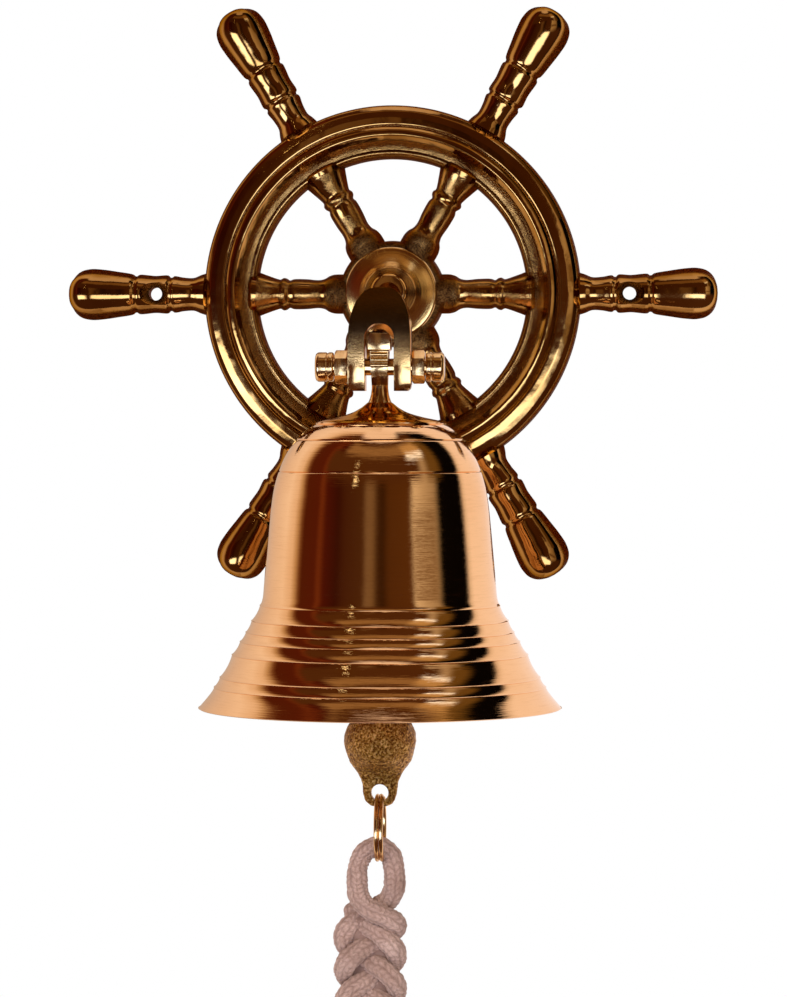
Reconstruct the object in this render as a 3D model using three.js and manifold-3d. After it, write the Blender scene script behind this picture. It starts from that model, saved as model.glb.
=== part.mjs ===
// Ship bell that hangs from a ship's-wheel wall bracket.
// Units are millimetres. +Z is up, the wall is the plane y = 0 and the object stands out towards -Y.
// The origin is the centre of the wheel's flat back. "Depth" below is the distance from the wall, -y.

import * as THREE from "three";
import { mergeVertices } from "three/addons/utils/BufferGeometryUtils.js";
import Module from "manifold-3d";

const wasm = await Module();
wasm.setup();

// ---- driving dimensions ----
const GAP = 0.3; // clearance between pieces that touch
const WHEEL_TIP_R = 102; // wheel centre to handle tip
const RIM_OUTER_R = 59.4;
const RIM_INNER_R = 42.6;
const HUB_R = 16.8;
const HUB_DEPTH = 8.5;
const ARM_AXIS_DEPTH = 4.6; // the handles and spokes are half-round above this depth
const SPOKES = 6;
const WALL_HOLE_AT = 74.5; // countersunk holes in the left and right handles

const BELL_DEPTH = 68; // bell axis to wall
const MOUTH_R = 54;
const MOUTH_Z = -125.2;
const CROWN_NECK_Z = -34.6;
const CROWN_INSIDE_Z = -44.4;

const FORK_HALF_WIDTH = 9.3;
const FORK_TOP_Z = -0.6;
const FORK_BOTTOM_Z = -31;
const SLOT_HALF_WIDTH = 4.35;
const SLOT_TOP_Z = -10.95;
const PIVOT_Z = -23.9;

const STUD_R = 2.5;
const HEX_NUT_LENGTH = 3.8;
const CAP_NUT_LENGTH = 5.5;
const SHANK_R = 2; // thread below the bell's hanger

const BALL_R = 11;
const BALL_Z = -136;
const CLAPPER_TAIL_Z = -154.6;
const TAIL_EYE_Z = -150.4;
const TAIL_EYE_R = 2.6;

const SPLIT_RING_R = 9.4; // to the wire's centreline
const SPLIT_WIRE_R = 0.7;

const CORD_R = 3.1;
const CORD_BEND_R = 5.65;
const SINNET_TOP_Z = -187.3;
const SINNET_BOTTOM_Z = -285;
const END_KNOT_R = 11.5;

// ---- materials ----
const POLISHED = new THREE.MeshStandardMaterial({ color: 0xd9a066, roughness: 0.12, metalness: 1 });
const CAST = new THREE.MeshStandardMaterial({ color: 0xa87a38, roughness: 0.2, metalness: 1 });
const ROUGH = new THREE.MeshStandardMaterial({ color: 0x8a6428, roughness: 0.5, metalness: 1 });
const FASTENER = new THREE.MeshStandardMaterial({ color: 0xb98a45, roughness: 0.25, metalness: 1 });
const COTTON = new THREE.MeshStandardMaterial({ color: 0xa58779, roughness: 0.95, metalness: 0 });

// ---- helpers ----
function solid(geometry) {
  geometry.deleteAttribute("normal");
  geometry.deleteAttribute("uv");
  const merged = mergeVertices(geometry, 1e-4);
  const vertProperties = new Float32Array(merged.attributes.position.array);
  const triVerts = new Uint32Array(merged.index.array);
  return new wasm.Manifold(new wasm.Mesh({ numProp: 3, vertProperties, triVerts }));
}

function piece(name, body, material) {
  const { vertProperties, triVerts } = body.getMesh();
  const geometry = new THREE.BufferGeometry();
  geometry.setAttribute("position", new THREE.BufferAttribute(new Float32Array(vertProperties), 3));
  geometry.setIndex(new THREE.BufferAttribute(new Uint32Array(triVerts), 1));
  const mesh = new THREE.Mesh(geometry, material);
  mesh.name = name;
  return mesh;
}

// Turned about Y: each point is [radius, depth from the wall], listed from the wall outwards.
function turnedOnWheelAxis(points, segments) {
  const profile = points.map(([radius, depth]) => new THREE.Vector2(radius, -depth)).reverse();
  return solid(new THREE.LatheGeometry(profile, segments));
}

// Turned about a vertical line: each point is [radius, z], listed from the bottom up.
function turnedUpright(points, segments) {
  const profile = points.map(([radius, z]) => new THREE.Vector2(radius, z));
  return solid(new THREE.LatheGeometry(profile, segments).rotateX(Math.PI / 2));
}

// A rod of a given radius between two X positions.
function rodAlongX(radius, fromX, toX, sides) {
  const rod = new THREE.CylinderGeometry(radius, radius, toX - fromX, sides);
  return solid(rod.rotateZ(Math.PI / 2).translate((fromX + toX) / 2, 0, 0));
}

function rodAlongY(radius, fromDepth, toDepth, sides = 20) {
  const rod = new THREE.CylinderGeometry(radius, radius, toDepth - fromDepth, sides);
  return solid(rod.translate(0, -(fromDepth + toDepth) / 2, 0));
}

function block(minX, maxX, minY, maxY, minZ, maxZ) {
  const box = new THREE.BoxGeometry(maxX - minX, maxY - minY, maxZ - minZ);
  return solid(box.translate((minX + maxX) / 2, (minY + maxY) / 2, (minZ + maxZ) / 2));
}

// An outline in X and Z, extruded between two depths.
function frontOutline(shape, fromDepth, toDepth, curveSegments = 10) {
  const options = { depth: toDepth - fromDepth, bevelEnabled: false, curveSegments };
  const slab = new THREE.ExtrudeGeometry(shape, options).rotateX(Math.PI / 2);
  return solid(slab.translate(0, -fromDepth, 0));
}

// An outline in depth and Z, extruded across X on both sides of the middle.
function sideOutline(shape, halfWidth, curveSegments = 10) {
  const options = { depth: 2 * halfWidth, bevelEnabled: false, curveSegments };
  const slab = new THREE.ExtrudeGeometry(shape, options).rotateX(Math.PI / 2).rotateZ(-Math.PI / 2);
  return solid(slab.translate(halfWidth, 0, 0));
}

function circle(radius) {
  return new THREE.Shape().absarc(0, 0, radius, 0, 2 * Math.PI);
}

function sweep(path, radius, steps, sides) {
  const options = { steps, extrudePath: path, bevelEnabled: false, curveSegments: sides / 2 };
  return solid(new THREE.ExtrudeGeometry(circle(radius), options));
}

function torus(radius, wireRadius, segments, sides) {
  return solid(new THREE.TorusGeometry(radius, wireRadius, sides, segments));
}

// ---- wheel ----
// Each arm is a spoke and a handle in one: [distance from the wheel's centre, half width].
const SPOKE_AND_HANDLE = [
  [12, 3.6], [16, 3.8], [17.4, 4.8], [18.7, 5.4], [20.2, 4.9], [21.2, 3.5], [27, 3.9], [32.4, 4.2], [33.6, 3.7],
  [34.8, 5.3], [42, 6], [57, 6.4], [60.5, 6.1], [62.8, 5.1], [66, 5.3], [69.3, 5.7], [70, 5.4],
  [70.8, 5.9], [75, 5.9], [80.2, 6.2], [81, 5.9], [82, 6.3], [87, 7.2], [92, 7.9], [95.5, 8.1],
  [98.6, 7.3], [100.8, 5.4], [101.8, 2.9],
];

function wheelArm() {
  const first = SPOKE_AND_HANDLE[0][0];
  const half = SPOKE_AND_HANDLE.map(([along, width]) => new THREE.Vector2(width, along));
  const profile = [new THREE.Vector2(0, first), ...half, new THREE.Vector2(0, WHEEL_TIP_R)];
  const round = new THREE.LatheGeometry(profile, 12).rotateX(Math.PI / 2);
  const reach = WHEEL_TIP_R + 1;
  const front = block(-reach, reach, -reach, 0, -reach, reach);
  const turned = solid(round.translate(0, -ARM_AXIS_DEPTH, 0)).intersect(front);
  const other = half.map((point) => new THREE.Vector2(-point.x, point.y)).reverse();
  const outline = new THREE.Shape([...half, new THREE.Vector2(0, WHEEL_TIP_R), ...other]);
  return turned.add(frontOutline(outline, 0, ARM_AXIS_DEPTH));
}

function wallHole(x) {
  const bore = rodAlongY(2.6, -1, 12);
  const sink = solid(new THREE.CylinderGeometry(2.6, 5.6, 4, 20).translate(0, -9, 0));
  return bore.add(sink).translate([x, 0, 0]);
}

function wheel() {
  const hub = [
    [0, 0], [HUB_R, 0], [HUB_R, HUB_DEPTH - 1.6], [HUB_R - 1.2, HUB_DEPTH], [0, HUB_DEPTH],
  ];
  const rim = [
    [RIM_INNER_R, 0], [RIM_OUTER_R, 0], [RIM_OUTER_R, 5], [58.8, 7.6], [57.4, 9.4], [55.6, 10],
    [53.8, 9.2], [52.9, 8.2], [52.2, 9.6], [50.6, 11], [48.6, 11], [46.6, 9.4], [45.2, 7.6],
    [43.9, 6.9], [RIM_INNER_R, 5.4], [RIM_INNER_R, 0],
  ];
  let body = turnedOnWheelAxis(hub, 36).add(turnedOnWheelAxis(rim, 60));
  const arm = wheelArm();
  for (let index = 0; index < SPOKES; index += 1) {
    body = body.add(arm.rotate([0, 90 + (index * 360) / SPOKES, 0]));
  }
  for (const side of [-1, 1]) {
    body = body.subtract(wallHole(side * WALL_HOLE_AT));
    body = body.subtract(bracketScrew(side, GAP));
  }
  return body;
}

// ---- bracket ----
const SCREW_AT = 8.5;

// Countersunk screw from behind, through the hub and into the flange.
function bracketScrew(side, clearance) {
  const sunk = 0.6;
  const head = [
    [0, sunk - clearance * 3], [4 + clearance, sunk - clearance * 3], [4 + clearance, sunk],
    [2 + clearance, sunk + 2], [2 + clearance, 11.2 + clearance], [0, 11.2 + clearance],
  ];
  const slot = block(-4, 4, -sunk - 0.8, 1, -0.6, 0.6);
  const screw = turnedOnWheelAxis(head, 16);
  const finished = clearance > 0 ? screw : screw.subtract(slot);
  return finished.translate([side * SCREW_AT, 0, 0]);
}

function forkOutline() {
  const shoulderZ = FORK_TOP_Z - 11;
  const archZ = SLOT_TOP_Z - SLOT_HALF_WIDTH;
  const shape = new THREE.Shape();
  shape.moveTo(-SLOT_HALF_WIDTH, FORK_BOTTOM_Z);
  shape.lineTo(-SLOT_HALF_WIDTH, archZ);
  shape.absarc(0, archZ, SLOT_HALF_WIDTH, Math.PI, 0, true);
  shape.lineTo(SLOT_HALF_WIDTH, FORK_BOTTOM_Z);
  shape.lineTo(FORK_HALF_WIDTH - 0.6, FORK_BOTTOM_Z);
  shape.lineTo(FORK_HALF_WIDTH, FORK_BOTTOM_Z + 0.8);
  shape.lineTo(FORK_HALF_WIDTH, shoulderZ);
  shape.absellipse(0, shoulderZ, FORK_HALF_WIDTH, FORK_TOP_Z - shoulderZ, 0, Math.PI, false, 0);
  shape.lineTo(-FORK_HALF_WIDTH, FORK_BOTTOM_Z + 0.8);
  shape.lineTo(-FORK_HALF_WIDTH + 0.6, FORK_BOTTOM_Z);
  return shape;
}

function hookOutline() {
  const frontDepth = BELL_DEPTH + 5.8;
  const backDepth = BELL_DEPTH - 5.8;
  const bendZ = -15;
  const shape = new THREE.Shape();
  shape.moveTo(backDepth, FORK_BOTTOM_Z);
  shape.lineTo(frontDepth, FORK_BOTTOM_Z);
  shape.lineTo(frontDepth, bendZ);
  shape.absellipse(frontDepth - 16, bendZ, 16, FORK_TOP_Z - bendZ, 0, Math.PI / 2, false, 0);
  shape.lineTo(backDepth - 6, -10.4);
  shape.quadraticCurveTo(backDepth, -11, backDepth, -16.5);
  return shape;
}

function bracketArm() {
  const flange = [
    [0, HUB_DEPTH + GAP], [13.6, HUB_DEPTH + GAP], [14.2, 9.5], [14.2, 10.8], [13.5, 11.5],
    [12.2, 11.9], [9.8, 12.8], [7.6, 15], [6.4, 18], [5.7, 20.6], [4.8, 21], [4.8, 22.2],
    [5.7, 22.6], [5.9, 24], [5.5, 26], [0, 26],
  ];
  const arm = new THREE.CatmullRomCurve3([
    new THREE.Vector3(0, -24, 0),
    new THREE.Vector3(0, -36, -0.6),
    new THREE.Vector3(0, -48, -2.6),
    new THREE.Vector3(0, -60, -5.6),
  ]);
  const fork = frontOutline(forkOutline(), 50, 80, 6).intersect(sideOutline(hookOutline(), 12, 6));
  let body = turnedOnWheelAxis(flange, 28).add(sweep(arm, 5, 6, 12)).add(fork);
  const slot = block(-SLOT_HALF_WIDTH, SLOT_HALF_WIDTH, -80, -50, FORK_BOTTOM_Z, SLOT_TOP_Z - 4);
  body = body.subtract(slot);
  body = body.subtract(pivotRod(STUD_R + GAP, FORK_HALF_WIDTH + 1));
  for (const side of [-1, 1]) {
    body = body.subtract(bracketScrew(side, GAP));
  }
  return body;
}

// ---- pivot hardware ----
function pivotRod(radius, halfLength) {
  return rodAlongX(radius, -halfLength, halfLength, 16).translate([0, -BELL_DEPTH, PIVOT_Z]);
}

const HEX_NUT_FROM = FORK_HALF_WIDTH + GAP;
const CAP_NUT_FROM = HEX_NUT_FROM + HEX_NUT_LENGTH + GAP;

function hexNut(side) {
  const hexagon = new THREE.CylinderGeometry(5, 5, HEX_NUT_LENGTH, 6).rotateZ(Math.PI / 2);
  const middle = HEX_NUT_FROM + HEX_NUT_LENGTH / 2;
  const nut = solid(hexagon.translate(side * middle, -BELL_DEPTH, PIVOT_Z));
  return nut.subtract(pivotRod(STUD_R + GAP, FORK_HALF_WIDTH + 10));
}

function capNut(side) {
  const profile = [[0, 0], [4.4, 0], [4.4, 4.7], [3.8, CAP_NUT_LENGTH], [0, CAP_NUT_LENGTH]];
  const points = profile.map(([radius, along]) => new THREE.Vector2(radius, along));
  const turned = new THREE.LatheGeometry(points, 20).rotateZ((-side * Math.PI) / 2);
  const nut = solid(turned.translate(side * CAP_NUT_FROM, -BELL_DEPTH, PIVOT_Z));
  return nut.subtract(pivotRod(STUD_R + GAP, CAP_NUT_FROM + 3.9));
}

// ---- bell ----
// Bottom edges of the turned bands on the flare, [radius, z], from the waist to the lip.
const FLARE_BANDS = [
  [35.8, -94.6], [38.1, -99.1], [39.6, -102.5], [41.6, -105.3], [43.9, -109.2], [47.3, -115.9],
  [48.9, -118.8], [MOUTH_R, MOUTH_Z],
];

function bellShell() {
  const inside = [
    [SHANK_R + GAP, CROWN_INSIDE_Z], [14, CROWN_INSIDE_Z], [18.4, -46], [23.4, -50], [27, -56],
    [29.3, -64.5], [30.4, -76], [31.2, -86], [32, -91.5], [33.6, -96.5], [36.8, -102.5],
    [40.4, -108.5], [44.6, -115], [49, -121], [51.9, MOUTH_Z],
  ];
  const body = [
    [34.6, -87], [33.2, -73.6], [32.2, -63], [30, -54.8], [28.4, -51], [26.6, -48], [24.8, -45.5],
    [22, -42.4], [19.4, -40.8], [19, -40.2], [12.5, -38.6], [6.8, -37.2], [4.4, -35.9],
    [3.5, CROWN_NECK_Z], [SHANK_R + GAP, CROWN_NECK_Z],
  ];
  const outside = [...FLARE_BANDS].reverse();
  const shell = turnedUpright([...inside, ...outside, ...body, inside[0]], 48);
  return shell.translate([0, -BELL_DEPTH, 0]);
}

const LUG_TOP_R = 11.3; // the hanger's top, measured from the pivot
const STEM_R = 2.6;

function hangerStem() {
  const lugSide = new THREE.Shape();
  lugSide.moveTo(-STEM_R, PIVOT_Z - 7.5);
  lugSide.lineTo(STEM_R, PIVOT_Z - 7.5);
  lugSide.lineTo(5.2, PIVOT_Z - 3.5);
  lugSide.lineTo(5.5, PIVOT_Z + 8);
  const corner = Math.acos(5.5 / LUG_TOP_R);
  lugSide.absarc(0, PIVOT_Z, LUG_TOP_R, corner, Math.PI - corner, false);
  lugSide.lineTo(-5.2, PIVOT_Z - 3.5);
  const lugFront = new THREE.Shape();
  const roundZ = PIVOT_Z + LUG_TOP_R - 4;
  lugFront.moveTo(-2.6, PIVOT_Z - 8);
  lugFront.lineTo(2.6, PIVOT_Z - 8);
  lugFront.lineTo(3.2, PIVOT_Z);
  lugFront.lineTo(3.2, roundZ);
  lugFront.absellipse(0, roundZ, 3.2, 4, 0, Math.PI, false, 0);
  lugFront.lineTo(-3.2, PIVOT_Z);
  const lug = frontOutline(lugFront, -8, 8, 8).intersect(sideOutline(lugSide, 6, 8));
  const stem = [
    [0, -54], [SHANK_R, -54], [SHANK_R, CROWN_NECK_Z + GAP], [3.4, CROWN_NECK_Z + GAP],
    [STEM_R, -33], [STEM_R, -28], [0, -28],
  ];
  const hanger = lug.add(turnedUpright(stem, 16)).translate([0, -BELL_DEPTH, 0]);
  return hanger.subtract(pivotRod(STUD_R + GAP, 6));
}

function ringWasher(outerR, innerR, bottomZ, topZ, segments) {
  const profile = [
    [innerR, bottomZ], [outerR, bottomZ], [outerR, topZ], [innerR, topZ], [innerR, bottomZ],
  ];
  return turnedUpright(profile, segments).translate([0, -BELL_DEPTH, 0]);
}

const WASHER_TOP_Z = CROWN_INSIDE_Z - GAP;
const NUT_TOP_Z = WASHER_TOP_Z - 1.3 - GAP;
const NUT_BOTTOM_Z = NUT_TOP_Z - 3.5;

function crownNut() {
  const length = NUT_TOP_Z - NUT_BOTTOM_Z;
  const hexagon = new THREE.CylinderGeometry(4.6, 4.6, length, 6).rotateX(Math.PI / 2);
  const nut = solid(hexagon.translate(0, -BELL_DEPTH, NUT_TOP_Z - length / 2));
  return nut.subtract(ringWasher(SHANK_R + GAP, 0, NUT_BOTTOM_Z - 1, NUT_TOP_Z + 1, 20));
}

// ---- clapper chain: eye on the bell, link, clapper's own eye ----
const EYE_R = 4.2;
const EYE_WIRE_R = 1.4;
const BELL_EYE_Z = -60;
const LINK_R = 4.8;
const LINK_WIRE_R = 1.1;
const LINK_TOP_Z = BELL_EYE_Z - EYE_R + EYE_WIRE_R + LINK_WIRE_R + 0.25;
const LINK_Z = LINK_TOP_Z - LINK_R;
const CLAPPER_EYE_TOP_Z = LINK_Z - LINK_R + LINK_WIRE_R + EYE_WIRE_R + 0.25;
const CLAPPER_EYE_Z = CLAPPER_EYE_TOP_Z - EYE_R;

function eye(z) {
  const ring = new THREE.TorusGeometry(EYE_R, EYE_WIRE_R, 8, 18).rotateX(Math.PI / 2);
  return solid(ring.translate(0, 0, z));
}

function clapperEye() {
  const topZ = NUT_BOTTOM_Z - GAP;
  const floorZ = -54 - GAP;
  const boss = [
    [0, BELL_EYE_Z + 3.2], [3.2, BELL_EYE_Z + 3.2], [3.4, topZ], [SHANK_R + GAP, topZ],
    [SHANK_R + GAP, floorZ], [0, floorZ],
  ];
  return turnedUpright(boss, 16).add(eye(BELL_EYE_Z)).translate([0, -BELL_DEPTH, 0]);
}

function clapperLink() {
  const ring = new THREE.TorusGeometry(LINK_R, LINK_WIRE_R, 8, 18).rotateY(Math.PI / 2);
  return solid(ring.translate(0, -BELL_DEPTH, LINK_Z));
}

function clapper() {
  const rodR = 2.4;
  const turned = turnedUpright([
    [0, CLAPPER_TAIL_Z], [2.6, -154.1], [4.3, -152.6], [5.2, -150.4], [5.7, -148], [7, -145],
    [8.7, -142.4], [10.2, -139.6], [BALL_R, BALL_Z], [10.6, -133], [9.3, -130.2], [6.9, -127.4],
    [4, -125.6], [rodR, -123.6], [rodR, CLAPPER_EYE_Z - 3.4], [0, CLAPPER_EYE_Z - 3.4],
  ], 20);
  const side = new THREE.Shape([
    new THREE.Vector2(-1.7, -160), new THREE.Vector2(1.7, -160), new THREE.Vector2(1.7, -147),
    new THREE.Vector2(5, -144), new THREE.Vector2(12, -139), new THREE.Vector2(12, -70),
    new THREE.Vector2(-12, -70), new THREE.Vector2(-12, -139), new THREE.Vector2(-5, -144),
    new THREE.Vector2(-1.7, -147),
  ]);
  const hole = rodAlongY(TAIL_EYE_R, -6, 6).translate([0, 0, TAIL_EYE_Z]);
  const body = turned.intersect(sideOutline(side, 15)).subtract(hole).add(eye(CLAPPER_EYE_Z));
  return body.translate([0, -BELL_DEPTH, 0]);
}

// ---- ring and lanyard ----
const RING_TOP_Z = TAIL_EYE_Z - 1.1;
const RING_Z = RING_TOP_Z - SPLIT_RING_R;
const CORD_TOP_Z = RING_Z - SPLIT_RING_R + SPLIT_WIRE_R + CORD_R + GAP;

function splitRing() {
  const turn = torus(SPLIT_RING_R, SPLIT_WIRE_R, 24, 8).rotate([0, 90, 0]);
  const turns = turn.translate([-0.65, 0, 0]).add(turn.translate([0.65, 0, 0]));
  return turns.translate([0, -BELL_DEPTH, RING_Z]);
}

function lanyardLoop() {
  const bendZ = CORD_TOP_Z - CORD_BEND_R;
  const bottomZ = SINNET_TOP_Z + GAP;
  const left = new THREE.Vector3(-CORD_BEND_R, -BELL_DEPTH, bottomZ);
  const bend = [];
  for (let step = 0; step <= 12; step += 1) {
    const angle = Math.PI - (Math.PI * step) / 12;
    const x = CORD_BEND_R * Math.cos(angle);
    bend.push(new THREE.Vector3(x, -BELL_DEPTH, bendZ + CORD_BEND_R * Math.sin(angle)));
  }
  const right = new THREE.Vector3(CORD_BEND_R, -BELL_DEPTH, bottomZ);
  const route = new THREE.CatmullRomCurve3([left, ...bend, right], false, "centripetal");
  return sweep(route, CORD_R, 16, 8);
}

function lanyardSinnet() {
  const halfWidth = 11.5;
  const halfDepth = 8;
  const corner = 6;
  const shape = new THREE.Shape();
  shape.absarc(halfWidth - corner, halfDepth - corner, corner, 0, Math.PI / 2, false);
  shape.absarc(corner - halfWidth, halfDepth - corner, corner, Math.PI / 2, Math.PI, false);
  shape.absarc(corner - halfWidth, corner - halfDepth, corner, Math.PI, 1.5 * Math.PI, false);
  shape.absarc(halfWidth - corner, corner - halfDepth, corner, 1.5 * Math.PI, 2 * Math.PI, false);
  const depth = SINNET_TOP_Z - SINNET_BOTTOM_Z;
  const bar = new THREE.ExtrudeGeometry(shape, { depth, bevelEnabled: false, curveSegments: 4 });
  return solid(bar.translate(0, -BELL_DEPTH, SINNET_BOTTOM_Z));
}

function lanyardKnot() {
  const ball = new THREE.SphereGeometry(END_KNOT_R, 16, 10).rotateX(Math.PI / 2);
  return solid(ball.translate(0, -BELL_DEPTH, SINNET_BOTTOM_Z - GAP - END_KNOT_R));
}

// ---- assembly ----
const shipBell = new THREE.Group();
shipBell.add(
  piece("wheel", wheel(), CAST),
  piece("bracket_arm", bracketArm(), CAST),
  piece("bracket_screw_left", bracketScrew(-1, 0), FASTENER),
  piece("bracket_screw_right", bracketScrew(1, 0), FASTENER),
  piece("pivot_stud", pivotRod(STUD_R, CAP_NUT_FROM + 3.6), FASTENER),
  piece("hex_nut_left", hexNut(-1), FASTENER),
  piece("hex_nut_right", hexNut(1), FASTENER),
  piece("cap_nut_left", capNut(-1), FASTENER),
  piece("cap_nut_right", capNut(1), FASTENER),
  piece("bell_shell", bellShell(), POLISHED),
  piece("hanger_stem", hangerStem(), CAST),
  piece("crown_washer", ringWasher(8, SHANK_R + GAP, WASHER_TOP_Z - 1.3, WASHER_TOP_Z, 24), FASTENER),
  piece("crown_nut", crownNut(), FASTENER),
  piece("clapper_eye", clapperEye(), FASTENER),
  piece("clapper_link", clapperLink(), FASTENER),
  piece("clapper", clapper(), ROUGH),
  piece("split_ring", splitRing(), FASTENER),
  piece("lanyard_loop", lanyardLoop(), COTTON),
  piece("lanyard_sinnet", lanyardSinnet(), COTTON),
  piece("lanyard_knot", lanyardKnot(), COTTON),
);

export default shipBell;
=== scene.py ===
"""The looks of a polished brass ship's bell on a ship's-wheel wall bracket.

Lengths in the geometry below are millimetres in the CAD frame (+Z up, the wall is y = 0, the bell hangs
at negative y). They become metres when a mesh is made.
"""
import math

import bmesh
import bpy
import numpy as np
from mathutils import Matrix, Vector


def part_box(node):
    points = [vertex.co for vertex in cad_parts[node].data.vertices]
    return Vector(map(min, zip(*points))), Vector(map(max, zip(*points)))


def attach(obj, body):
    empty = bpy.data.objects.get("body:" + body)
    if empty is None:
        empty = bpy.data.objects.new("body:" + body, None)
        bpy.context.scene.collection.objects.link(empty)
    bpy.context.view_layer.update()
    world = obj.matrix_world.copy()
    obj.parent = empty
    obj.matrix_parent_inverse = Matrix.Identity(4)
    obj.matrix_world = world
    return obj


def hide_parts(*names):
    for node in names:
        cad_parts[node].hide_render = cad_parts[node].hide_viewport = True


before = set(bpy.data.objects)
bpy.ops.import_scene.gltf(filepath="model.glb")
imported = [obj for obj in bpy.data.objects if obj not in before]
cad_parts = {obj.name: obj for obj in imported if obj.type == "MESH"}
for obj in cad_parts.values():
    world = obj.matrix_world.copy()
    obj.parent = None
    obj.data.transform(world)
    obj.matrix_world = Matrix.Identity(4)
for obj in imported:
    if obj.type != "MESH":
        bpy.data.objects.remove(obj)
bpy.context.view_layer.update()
MM = 0.001


def millimetres(node):
    low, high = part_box(node)
    return np.array(low) / MM, np.array(high) / MM


STUD_LOW, STUD_HIGH = millimetres("pivot_stud")
BELL_LOW, BELL_HIGH = millimetres("bell_shell")
AXIS_Y = (STUD_LOW[1] + STUD_HIGH[1]) / 2  # the bell hangs on this line, in front of the wall
PIVOT_Z = (STUD_LOW[2] + STUD_HIGH[2]) / 2
MOUTH_Z = BELL_LOW[2]
WHEEL_TIP_R = millimetres("wheel")[1][0]


# ---- camera ----
CAMERA_PLACE = (0.0631, -1.1349, -0.0383)  # metres
CAMERA_DIP = 1.32  # degrees below level
CAMERA_TURN = 3.17  # degrees to the left of straight at the wall
CAMERA_LENS = 130


def make_camera():
    data = bpy.data.cameras.new("camera")
    data.lens = CAMERA_LENS
    data.sensor_width = 36
    camera = bpy.data.objects.new("camera", data)
    camera.location = CAMERA_PLACE
    camera.rotation_euler = (math.radians(90 - CAMERA_DIP), 0, math.radians(CAMERA_TURN))
    bpy.context.scene.collection.objects.link(camera)
    bpy.context.scene.camera = camera


make_camera()


# ---- meshes ----
def new_object(name, points, faces):
    """A mesh object from points in millimetres."""
    mesh = bpy.data.meshes.new(name)
    mesh.from_pydata((np.asarray(points, float) * MM).tolist(), [], faces)
    work = bmesh.new()
    work.from_mesh(mesh)
    bmesh.ops.remove_doubles(work, verts=work.verts, dist=1e-7)
    bmesh.ops.recalc_face_normals(work, faces=work.faces)
    work.to_mesh(mesh)
    work.free()
    obj = bpy.data.objects.new(name, mesh)
    bpy.context.scene.collection.objects.link(obj)
    return obj


def grid_faces(rows, columns, closed_rows):
    """Quads between consecutive rings of points; a ring always closes on itself."""
    faces = []
    for row in range(rows if closed_rows else rows - 1):
        below = row * columns
        above = ((row + 1) % rows) * columns
        for column in range(columns):
            after = (column + 1) % columns
            faces.append((below + column, below + after, above + after, above + column))
    return faces


def full_turn(count):
    """Angles equally spaced round a circle."""
    return np.linspace(0, 2 * np.pi, count, endpoint=False)


def smoothstep(value):
    """0 to 1 with a level start and end."""
    value = np.clip(value, 0, 1)
    return value * value * (3 - 2 * value)


def rings_object(name, rings, closed=False):
    """A surface through rings, an array of [ring, point, xyz]; open ends are capped."""
    rings = np.asarray(rings, float)
    rows, columns = rings.shape[:2]
    faces = grid_faces(rows, columns, closed)
    if not closed:
        faces.append(tuple(range(columns)))
        faces.append(tuple(range((rows - 1) * columns, rows * columns)))
    return new_object(name, rings.reshape(-1, 3), faces)


def catmull_rom(points, step):
    """A smooth curve through points, with a new point about every step."""
    points = np.asarray(points, float)
    padded = np.vstack([2 * points[0] - points[1], points, 2 * points[-1] - points[-2]])
    out = []
    for i in range(1, len(padded) - 2):
        p0, p1, p2, p3 = padded[i - 1:i + 3]
        knots = np.cumsum([0] + [max(np.linalg.norm(b - a), 1e-6) ** 0.5
                                 for a, b in ((p0, p1), (p1, p2), (p2, p3))])
        t0, t1, t2, t3 = knots
        count = max(2, int(math.ceil(np.linalg.norm(p2 - p1) / step)))
        for t in np.linspace(t1, t2, count, endpoint=False):
            a1 = (t1 - t) / (t1 - t0) * p0 + (t - t0) / (t1 - t0) * p1
            a2 = (t2 - t) / (t2 - t1) * p1 + (t - t1) / (t2 - t1) * p2
            a3 = (t3 - t) / (t3 - t2) * p2 + (t - t2) / (t3 - t2) * p3
            b1 = (t2 - t) / (t2 - t0) * a1 + (t - t0) / (t2 - t0) * a2
            b2 = (t3 - t) / (t3 - t1) * a2 + (t - t1) / (t3 - t1) * a3
            out.append((t2 - t) / (t2 - t1) * b1 + (t - t1) / (t2 - t1) * b2)
    out.append(points[-1])
    return np.array(out)


def resampled(points, step):
    """The same line with points an equal distance apart."""
    points = np.asarray(points, float)
    lengths = np.concatenate([[0], np.cumsum(np.linalg.norm(np.diff(points, axis=0), axis=1))])
    wanted = np.linspace(0, lengths[-1], max(2, int(round(lengths[-1] / step)) + 1))
    return np.stack([np.interp(wanted, lengths, points[:, k]) for k in range(points.shape[1])], axis=1)


def smoothed(path, width):
    """The path averaged over about 2 * width of its points on each side, with its ends kept."""
    window = np.exp(-0.5 * (np.arange(-3 * width, 3 * width + 1) / width) ** 2)
    window /= window.sum()
    head = 2 * path[0] - path[3 * width:0:-1]
    tail = 2 * path[-1] - path[-2:-3 * width - 2:-1]
    padded = np.vstack([head, path, tail])
    return np.stack([np.convolve(column, window, "valid") for column in padded.T], axis=1)


def rounded(points, radius, steps=4, closed=False):
    """A polyline with each corner replaced by a small arc."""
    points = [np.asarray(point, float) for point in points]
    count = len(points)
    out = []
    for i, corner in enumerate(points):
        if not closed and i in (0, count - 1):
            out.append(corner)
            continue
        before, after = points[i - 1], points[(i + 1) % count]
        cut_before = min(radius, 0.45 * np.linalg.norm(before - corner))
        cut_after = min(radius, 0.45 * np.linalg.norm(after - corner))
        start = corner + (before - corner) / np.linalg.norm(before - corner) * cut_before
        end = corner + (after - corner) / np.linalg.norm(after - corner) * cut_after
        for t in np.linspace(0, 1, steps + 1):
            out.append((1 - t) ** 2 * start + 2 * t * (1 - t) * corner + t ** 2 * end)
    return np.array(out)


def about_bell_axis(radius, height, angle):
    return radius * np.cos(angle), AXIS_Y + radius * np.sin(angle), height + 0 * angle


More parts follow.
